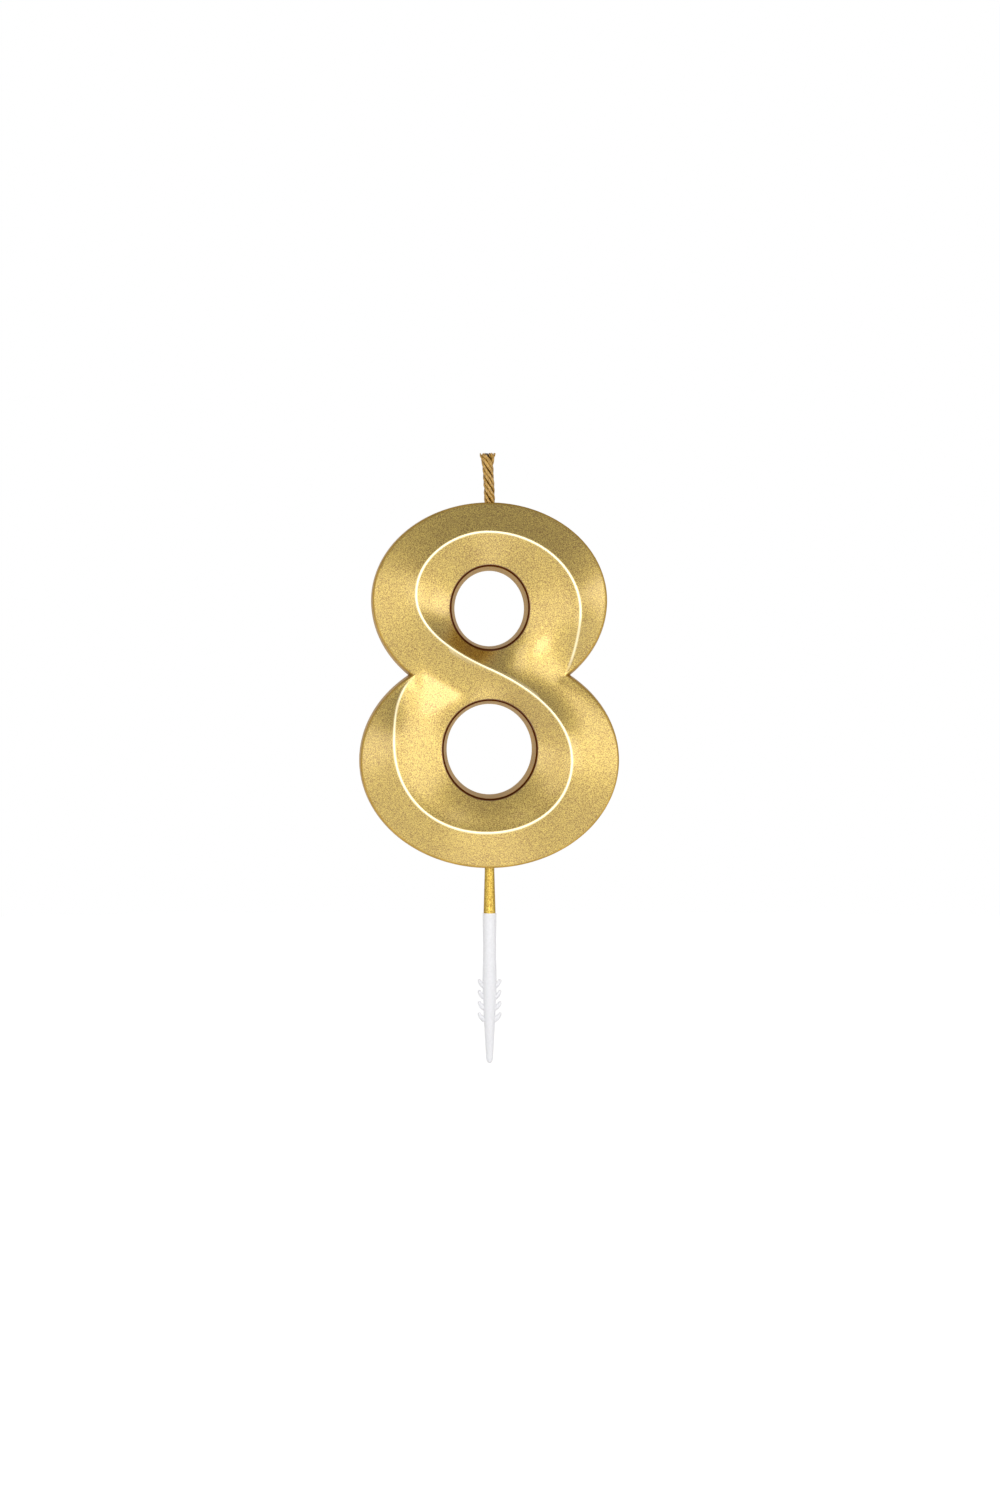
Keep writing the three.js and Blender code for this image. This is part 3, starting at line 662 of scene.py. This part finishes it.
# Barbs: horns whose centre line bends up, (1-t)^2 root + 2t(1-t) elbow + t^2 end, with oval sections
# that shrink from the root to the end and close there as the root of 1 - s^2.
def barbGrids():
    t = np.linspace(0, 1, pick["barbRings"])[:, None]
    f = np.linspace(0, 2 * math.pi, pick["barbSides"] + 1)[None, :]
    last = np.clip((t - 1 + pick["barbClosing"]) / pick["barbClosing"], 0, 1)
    half, deep = (mix(*pick[key], t) * np.sqrt(1 - last ** 2) for key in ("barbHalf", "barbDepth"))
    for tipLevel in pick["barbTips"]:
        root, elbow, end = np.array(pick["barbLine"]) + [0, tipLevel]
        centre = (1 - t) ** 2 * root + 2 * t * (1 - t) * elbow + t * t * end
        way = (1 - t) * (elbow - root) + t * (end - elbow)
        way /= np.linalg.norm(way, axis=1, keepdims=True)
        reach = centre[:, :1] + way[:, 1:] * half * np.cos(f)
        level = centre[:, 1:] - way[:, :1] * half * np.cos(f)
        for side in (1, -1):
            grid = np.stack([side * reach, deep * np.sin(f), level], -1)
            grid[:, -1] = grid[:, 0]
            foot = np.broadcast_to([side * root[0], 0, root[1]], grid[:1].shape)
            yield np.concatenate([foot, grid]), side < 0


# The pick's bar and barbs as one shell, with lacquer above the shoulder.
def makePick(name, plastic, lacquer):
    bar = makePiece(name, *skinOf([(turnedGrid(pickProfile()), False)]), plastic)
    barbs = makePiece(name + "Barbs", *skinOf(barbGrids()), plastic)
    joinExactly(bar, [barbs], "UNION")
    splitFinish(bar.data, plastic, lacquer, placesOf(bar.data.polygons, "center")[:, 2] > 0)
    shadeSmooth(bar.data, pick["sharpAngle"])
    return bar


# Finishes

finish = dict(
    # Painted light among these: a cream painted highlight for the crest, a reddish brown painted shade for
    # the rims of the counters, a greyer gold with painted reflection and shade for the walls and back, and
    # the cotton's painted shade and highlight.
    goldDeep="#8A6200", goldPale="#DDC054", crestHighlightGold="#F4E2B0", rimShadeGold="#5C2E06", wallGoldPaintedLight="#C6A457",
    wallEdge="#AE8F63", stemEdge="#8A5A14", plastic="#EEEEF1",
    cotton=("#301A03", "#78520A", "#DDB050"),  # from the painted shade in the grooves to the painted highlight on the raised fibres
    powderGrain=0.17, sprayPatch=8.0, wallPatch=4.0, plasticTexture=0.35, fibre=0.16,  # mm
    faceRelief=0.008, wallRelief=0.01, plasticRelief=0.006, fibreRelief=0.06,  # mm
    # share of the paler gold: a constant, and the weights of the grain and of the patches
    faceShare=(-1.55, 3.8, 0.3), wallShare=(-1.1, 1.6, 1.2), wallTones=(0.78, 1.25),
    # roughness: a constant, and the weight of the pattern
    faceRoughness=(0.26, 0.2), wallRoughness=(0.36, 0.25), plasticRoughness=(0.4, 0.16),
    varnishRoughness=0.25, varnishIor=1.85, stemVarnish=0.3, wallVarnish=0.2,
    rimShadeEnds=(0.3, 0.7), varnishStarts=(0.3, 0.9),  # mm behind the edges
    plasticShade=0.955, plasticDepth=0.6,
    fibreShare=(-1.45, 1.6),  # of the painted highlight on the cotton: a constant and a weight
)
multiply = dict(operation="MULTIPLY")
multiplyAdd = dict(operation="MULTIPLY_ADD")  # input 0 * input 1 + input 2
smoothRange = dict(interpolation_type="SMOOTHSTEP")
colourMix = dict(data_type="RGBA")  # from input 6 to 7 by input 0, as output 2


# A linear colour made darker or brighter by a factor.
def toned(colour, factor):
    return (*(factor * channel for channel in colour[:3]), 1)


# The place on a piece in millimetres, stretched by a factor along each axis.
def placeOn(tree, stretch=(1, 1, 1)):
    place = addNode(tree, "TexCoord", output="Object")
    return addNode(tree, "Mapping", Vector=place, Scale=[share / millimetre for share in stretch])


# Grain and slower patches, and the share of the paler gold: constant + a * grain + b * patch.
def grainAndShare(tree, place, patchSize, patchDetail, weights):
    constant, grainWeight, patchWeight = weights
    grain = addNode(tree, "TexNoise", Vector=place, Scale=1 / finish["powderGrain"], Detail=2.0)
    patch = addNode(tree, "TexNoise", Vector=place, Scale=1 / patchSize, Detail=patchDetail)
    share = addNode(tree, "Math", multiplyAdd, _0=grain, _1=grainWeight, _2=constant)
    return grain, addNode(tree, "Math", multiplyAdd, _0=patch, _1=patchWeight, _2=share)


# Relief of a height in millimetres, and roughness, constant + a * pattern, which follow one pattern.
def reliefAndRoughness(tree, pattern, height, weights):
    constant, patternWeight = weights
    relief = addNode(tree, "Bump", Strength=1.0, Distance=height * millimetre, Height=pattern)
    return relief, addNode(tree, "Math", multiplyAdd, _0=pattern, _1=patternWeight, _2=constant)


# Gold lacquer: bronze powder in clear varnish, sprayed on. The powder gives a broad metallic sheen with a
# fine grain and slow patches, and the varnish paler highlights. On the wax numeral a cream painted
# highlight runs along the crest, and a reddish brown painted shade lies on the rims of the counters. The
# powder's flakes of about 0.03 mm are drawn coarser to show.
def goldLacquer(tree, onNumeral):
    grain, share = grainAndShare(tree, placeOn(tree), finish["sprayPatch"], 1.0, finish["faceShare"])
    colour = addNode(tree, "Mix", colourMix, 2, _0=share,
                     _6=linearColour(finish["goldDeep"]), _7=linearColour(finish["goldPale"]))
    # a painted highlight along the crest and a painted shade on the rims of the counters
    paintedLight = (("crestHighlight", "crestHighlightGold"), ("rimShade", "rimShadeGold"))
    for key, worn in paintedLight if onNumeral else ():
        paintedShare = addNode(tree, "Attribute", dict(attribute_name=key), "Fac")
        colour = addNode(tree, "Mix", colourMix, 2, _0=paintedShare, _6=colour, _7=linearColour(finish[worn]))
    relief, roughness = reliefAndRoughness(tree, grain, finish["faceRelief"], finish["faceRoughness"])
    return addNode(
        tree, "BsdfPrincipled", Metallic=1.0, Base_Color=colour, Normal=relief, Roughness=roughness,
        Specular_Tint=(1, 1, 1, 1) if onNumeral else linearColour(finish["stemEdge"]),
        Coat_Weight=1.0 if onNumeral else finish["stemVarnish"],
        Coat_Roughness=finish["varnishRoughness"], Coat_IOR=finish["varnishIor"])


# The same lacquer on the numeral's rims, walls and back, which faced away from the spray: thin and
# uneven, in a greyer gold that is painted reflection and shade, brownish where the eye meets the varnish at
# a low angle, and with a reddish brown painted shade on the rims of the counters.
def thinPaintedLightLacquer(tree):
    place = placeOn(tree)
    grain, share = grainAndShare(tree, place, finish["wallPatch"], 2.0, finish["wallShare"])
    # a gold greyer than the face's, over a thinner coat: painted reflection and shade of the walls
    thin, thick = (toned(linearColour(finish["wallGoldPaintedLight"]), tone) for tone in finish["wallTones"])
    colour = addNode(tree, "Mix", colourMix, 2, _0=share, _6=thin, _7=thick)
    depth = addNode(tree, "SeparateXYZ", output="Y", Vector=place)
    low, high = edgeY + np.array(finish["rimShadeEnds"])
    nearEdge = addNode(tree, "MapRange", smoothRange, Value=depth, From_Min=low, From_Max=high,
                       To_Min=1.0, To_Max=0.0)
    # a reddish brown painted shade on the rims of the counters
    rim = addNode(tree, "Attribute", dict(attribute_name="rimShade"), "Fac")
    rim = addNode(tree, "Math", multiply, _0=rim, _1=nearEdge)
    colour = addNode(tree, "Mix", colourMix, 2, _0=rim, _6=colour, _7=linearColour(finish["rimShadeGold"]))
    low, high = edgeY + np.array(finish["varnishStarts"])
    varnish = addNode(tree, "MapRange", smoothRange, Value=depth, From_Min=low, From_Max=high,
                      To_Max=finish["wallVarnish"])
    relief, roughness = reliefAndRoughness(tree, grain, finish["wallRelief"], finish["wallRoughness"])
    return addNode(
        tree, "BsdfPrincipled", Metallic=1.0, Base_Color=colour, Normal=relief, Roughness=roughness,
        Specular_Tint=linearColour(finish["wallEdge"]),
        Coat_Weight=varnish, Coat_Roughness=0.2, Coat_IOR=1.5)


# White polypropylene, injection moulded: an even satin white that light enters a little, with the faint
# unevenness of the mould's eroded surface, whose pits of about 0.05 mm are drawn coarser to show.
def whitePolypropylene(tree):
    scale, height = 1 / finish["plasticTexture"], finish["plasticRelief"]
    texture = addNode(tree, "TexNoise", Vector=placeOn(tree), Scale=scale, Detail=2.0)
    raised = addNode(tree, "MapRange", smoothRange, Value=texture, From_Min=0.3, From_Max=0.7)
    white = linearColour(finish["plastic"])
    shade = toned(white, finish["plasticShade"])
    colour = addNode(tree, "Mix", colourMix, 2, _0=raised, _6=shade, _7=white)
    relief, roughness = reliefAndRoughness(tree, texture, height, finish["plasticRoughness"])
    return addNode(
        tree, "BsdfPrincipled", Base_Color=colour, Normal=relief, Roughness=roughness, IOR=1.49,
        Subsurface_Weight=0.15, Subsurface_Radius=(1, 1, 1),
        Subsurface_Scale=finish["plasticDepth"] * millimetre)


# Waxed cotton yarn in the gold overspray, with a dark painted shade in the grooves between the yarns and a
# pale painted highlight where they stand out, and streaks of fibre along it. Cotton's own fibres of 0.02 mm
# are drawn coarser to show.
def waxedCotton(tree):
    groove, middle, pale = map(linearColour, finish["cotton"])
    height = addNode(tree, "Attribute", dict(attribute_name="strandHeight"), "Fac")
    place = placeOn(tree, (1, 1, 0.3))
    fibre = addNode(tree, "TexNoise", Vector=place, Scale=1 / finish["fibre"], Detail=2.0)
    # painted shade in the grooves between the yarns
    low = addNode(tree, "MapRange", smoothRange, Value=height, From_Max=0.7)
    colour = addNode(tree, "Mix", colourMix, 2, _0=low, _6=groove, _7=middle)
    # painted highlight where the yarns stand out, in streaks along the fibres
    high = addNode(tree, "MapRange", smoothRange, Value=height, From_Min=0.4)
    constant, fibreWeight = finish["fibreShare"]
    high = addNode(tree, "Math", dict(operation="ADD"), _0=high, _1=constant)
    raised = addNode(tree, "Math", multiplyAdd, _0=fibre, _1=fibreWeight, _2=high)
    raised = addNode(tree, "MapRange", smoothRange, Value=raised, From_Min=-0.2, From_Max=0.9)
    colour = addNode(tree, "Mix", colourMix, 2, _0=raised, _6=colour, _7=pale)
    relief = addNode(tree, "Bump", Strength=1.0, Distance=finish["fibreRelief"] * millimetre, Height=fibre)
    return addNode(
        tree, "BsdfPrincipled", Base_Color=colour, Normal=relief, Metallic=0.25, Roughness=0.4,
        Coat_Weight=0.6, Coat_Roughness=0.15)


lacquerOnWax = newMaterial("sprayedGoldLacquerOnWax", goldLacquer, True)
lacquerOnPlastic = newMaterial("sprayedGoldLacquerOnPlastic", goldLacquer, False)
lacquerOnWalls = newMaterial("thinGoldLacquerWithPaintedLightOnWax", thinPaintedLightLacquer)
plastic = newMaterial("mouldedWhitePolypropylene", whitePolypropylene)
cotton = newMaterial("twistedWaxedCotton", waxedCotton)
print("scene: finishes")


# The pieces, each in the place of its imported node

# Gives a piece its body and hides the imported node that it stands for.
def standsFor(piece, node):
    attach(piece, "root")
    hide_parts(node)
    print("scene:", piece.name, len(piece.data.polygons), "triangles")


# A cutter turned about the Z axis from radius and level pairs.
def makeCutter(name, profile):
    return makePiece(name, *skinOf([(turnedGrid(profile), False)]), lacquerOnWax)


# The painted highlight along the crest, from 0 to 1, by the distance from the ridge. It fades out before
# its ends.
def crestHighlight(place):
    paintedShare, front = np.zeros(len(place)), np.flatnonzero(place[:, 1] < edgeY)
    for part in np.array_split(front, 1 + len(front) // pointsAtOnce):
        gap = np.linalg.norm(place[part, None][..., [0, 2]] - ridgeTrace, axis=-1)
        toEnd = np.minimum(ridgeTraceRun, ridgeRun[-1] - ridgeTraceRun)[gap.argmin(1)]
        beside = smoothStep((numeral["crestHighlightHalfWidth"] - gap.min(1)) / numeral["crestHighlightFade"])
        paintedShare[part] = beside * smoothStep(toEnd / numeral["crestHighlightEndRun"])
    return paintedShare


# The painted shade on the rims of the counters, 1 on the rim and 0 at the width of the rim shade outside
# it.
# The distance from an oval is about (sqrt((x / halfWidth)^2 + (z / halfHeight)^2) - 1) * halfWidth.
def rimShade(place):
    rim = np.zeros(len(place))
    for level, halfWidth, halfHeight, _ in counters.values():
        share = np.hypot(place[:, 0] / halfWidth, (place[:, 2] - level) / halfHeight)
        rim = np.maximum(rim, smoothStep(1 - (share - 1) * halfWidth / numeral["rimShadeWidth"]))
    return rim


# The numeral's painted crest highlight and rim shade as attributes, and the thin lacquer with painted
# reflection and shade on the rims and all that lies behind them.
def finishNumeral(mesh):
    place = placesOf(mesh.vertices, "co")
    for key, value in (("crestHighlight", crestHighlight(place)), ("rimShade", rimShade(place))):
        mesh.attributes.new(key, "FLOAT", "POINT").data.foreach_set("value", value)
    behind = placesOf(mesh.polygons, "center")[:, 1] > edgeY + numeral["wallLacquerFrom"]
    splitFinish(mesh, lacquerOnWax, lacquerOnWalls, behind)
    shadeSmooth(mesh, numeral["sharpAngle"])


numberBody = makePiece("chiselledEight", *skinOf(numeralGrids()), lacquerOnWax)
bore = [(wickBoreRadius, numeralTop - wick["boreDepth"]), (wickBoreRadius, wickTop)]
socketRadius = pick["stemTopRadius"] + pick["headClearance"]
socket = [(socketRadius, numeral["foot"] - pick["headLength"]), *headProfile(pick["headClearance"])]
joinExactly(numberBody, [makeCutter("boreCutter", bore), makeCutter("socketCutter", socket)], "DIFFERENCE")
finishNumeral(numberBody.data)
standsFor(numberBody, "number_body")

for number in range(3):
    standsFor(makePly(f"wickPly{number + 1}", number, cotton), f"wick_ply_{number + 1}")

standsFor(makePick("barbedPick", plastic, lacquerOnPlastic), "cake_pick")


# Studio: a pale floor, a white sweep behind, and soft lights to the front, the left and the right

studio = dict(
    target=(0.002, 0.0, 0.0312), distance=0.76, yaw=1.1, pitch=1.0,  # metres and degrees
    focalPixels=3975.4, frameHeight=1500,
    floorLevel=-0.0289, floorRadius=0.5, floorSides=64, floorColour="#E4E4E4", floorGlow=0.54,
    # brighter patch of floor before the candle: its glow, half width and reach in mm, and soft edge
    patchGlow=0.55, patchHalfWidth=20, patchReach=(-25, -115), patchEdge=25,
    # degrees to the right of the camera and up, metres away, metres wide and high, brightness
    softboxes=dict(
        frontSoftbox=(0, 4, 1.2, (0.5, 0.5), 3.1),
        frontLeftSoftbox=(-28, 4, 1.1, (0.5, 0.7), 1.15),
        frontRightSoftbox=(28, 4, 1.1, (0.5, 0.7), 1.5),
        frontTopSoftbox=(0, 32, 1.1, (0.7, 0.4), 1.45),
        leftSoftbox=(-57, 2, 1.0, (0.42, 0.5), 1.4),
        rightSoftbox=(57, 2, 1.0, (0.42, 0.5), 2.1),
    ),
    softboxTarget=(0, 0, 0.045), roomLight=0.7, sweepLight=1.0, ceilingLight=0.48,
)


# Camera of the photograph's angle: its focal length over the frame's height, times the sensor's size.
def makeCamera():
    yaw, pitch = math.radians(studio["yaw"]), math.radians(studio["pitch"])
    forward = np.array([math.sin(yaw) * math.cos(pitch), math.cos(yaw) * math.cos(pitch), -math.sin(pitch)])
    data = bpy.data.cameras.new("camera")
    data.sensor_fit, data.sensor_width, data.sensor_height = "AUTO", 36, 24
    data.lens = studio["focalPixels"] / studio["frameHeight"] * data.sensor_width
    data.clip_start, data.clip_end = 0.01, 20
    camera = bpy.data.objects.new("camera", data)
    bpy.context.scene.collection.objects.link(camera)
    camera.location = np.array(studio["target"]) - studio["distance"] * forward
    camera.rotation_euler = (math.pi / 2 - pitch, 0, -yaw)
    bpy.context.scene.camera = camera


# A rectangular lamp of even brightness gives off pi * area * brightness watts.
def softbox(name, heading, height, distance, size, brightness):
    data = bpy.data.lights.new(name, "AREA")
    data.shape, data.size, data.size_y = "RECTANGLE", *size
    data.energy = math.pi * size[0] * size[1] * brightness
    lamp = bpy.data.objects.new(name, data)
    bpy.context.scene.collection.objects.link(lamp)
    turn, lift = math.radians(heading), math.radians(height)
    away = np.array([math.sin(turn) * math.cos(lift), -math.cos(turn) * math.cos(lift), math.sin(lift)])
    lamp.location = np.array(studio["softboxTarget"]) + away * distance
    lamp.rotation_euler = (math.pi / 2 - lift, 0, turn)
    lamp.visible_camera = False


# 1 for what the camera sees, also in gloss and through glass
def seenRays(tree):
    path = addNode(tree, "LightPath").node.outputs
    seen = path["Is Camera Ray"]
    for key in ("Is Glossy Ray", "Is Transmission Ray"):
        seen = addNode(tree, "Math", dict(operation="MAXIMUM"), _0=seen, _1=path[key])
    return seen


# Matt white paint. Its own white under the lamps keeps the object's shadow, and the rest of its white is
# glow that only the camera, gloss and glass see, with a brighter patch before the candle.
def whitePaint(tree):
    place = addNode(tree, "SeparateXYZ", Vector=placeOn(tree)).node.outputs
    across = addNode(tree, "Math", dict(operation="ABSOLUTE"), _0=place["X"])
    patch, soft, (near, far) = studio["patchGlow"], studio["patchEdge"] / 2, studio["patchReach"]
    for value, edge, start, end in (
            (across, studio["patchHalfWidth"], 1, 0), (place["Y"], near, 1, 0), (place["Y"], far, 0, 1)):
        share = addNode(tree, "MapRange", smoothRange, Value=value,
                        From_Min=edge - soft, From_Max=edge + soft, To_Min=start, To_Max=end)
        patch = addNode(tree, "Math", multiply, _0=patch, _1=share)
    glow = addNode(tree, "Math", dict(operation="ADD"), _0=patch, _1=studio["floorGlow"])
    glow = addNode(tree, "Math", multiply, _0=seenRays(tree), _1=glow)
    paint = addNode(tree, "BsdfDiffuse", Color=linearColour(studio["floorColour"]))
    light = addNode(tree, "Emission", Strength=glow)
    return addNode(tree, "AddShader", _0=paint, _1=light)


# A round floor of triangles about its middle.
def makeFloor():
    turn = np.linspace(0, 2 * math.pi, studio["floorSides"], endpoint=False)
    rim = np.stack([np.cos(turn), np.sin(turn), 0 * turn], -1) * studio["floorRadius"]
    points = np.vstack([[[0, 0, 0]], rim]) + [0, 0, studio["floorLevel"]]
    index = 1 + np.arange(studio["floorSides"])
    cells = np.stack([0 * index, index, np.roll(index, -1)], -1)
    material = newMaterial("mattWhitePaint", whitePaint)
    makePiece("floor", points / millimetre, cells, material)


# Behind the object is the white sweep, in front of it the dimmer room, and above it a dim ceiling.
def makeWorld():
    world = bpy.data.worlds.new("studio")
    bpy.context.scene.world = world
    world.use_nodes = True
    tree = world.node_tree
    tree.nodes.clear()
    way = addNode(tree, "TexCoord", output="Generated")
    way = addNode(tree, "SeparateXYZ", Vector=way).node.outputs
    room = addNode(tree, "MapRange", smoothRange, Value=way["Y"], From_Min=0.3, From_Max=0.8,
                   To_Min=studio["roomLight"], To_Max=studio["sweepLight"])
    above = addNode(tree, "MapRange", smoothRange, Value=way["Z"], From_Min=0.2, From_Max=0.9)
    strength = addNode(tree, "Mix", dict(data_type="FLOAT"), _0=above, _2=room, _3=studio["ceilingLight"])
    back = addNode(tree, "Background", Color=(1, 1, 1, 1), Strength=strength)
    addNode(tree, "OutputWorld", Surface=back)


makeCamera()
for name, values in studio["softboxes"].items():
    softbox(name, *values)
makeFloor()
makeWorld()
print("scene: studio")

bpy.context.scene.view_settings.view_transform = "Standard"
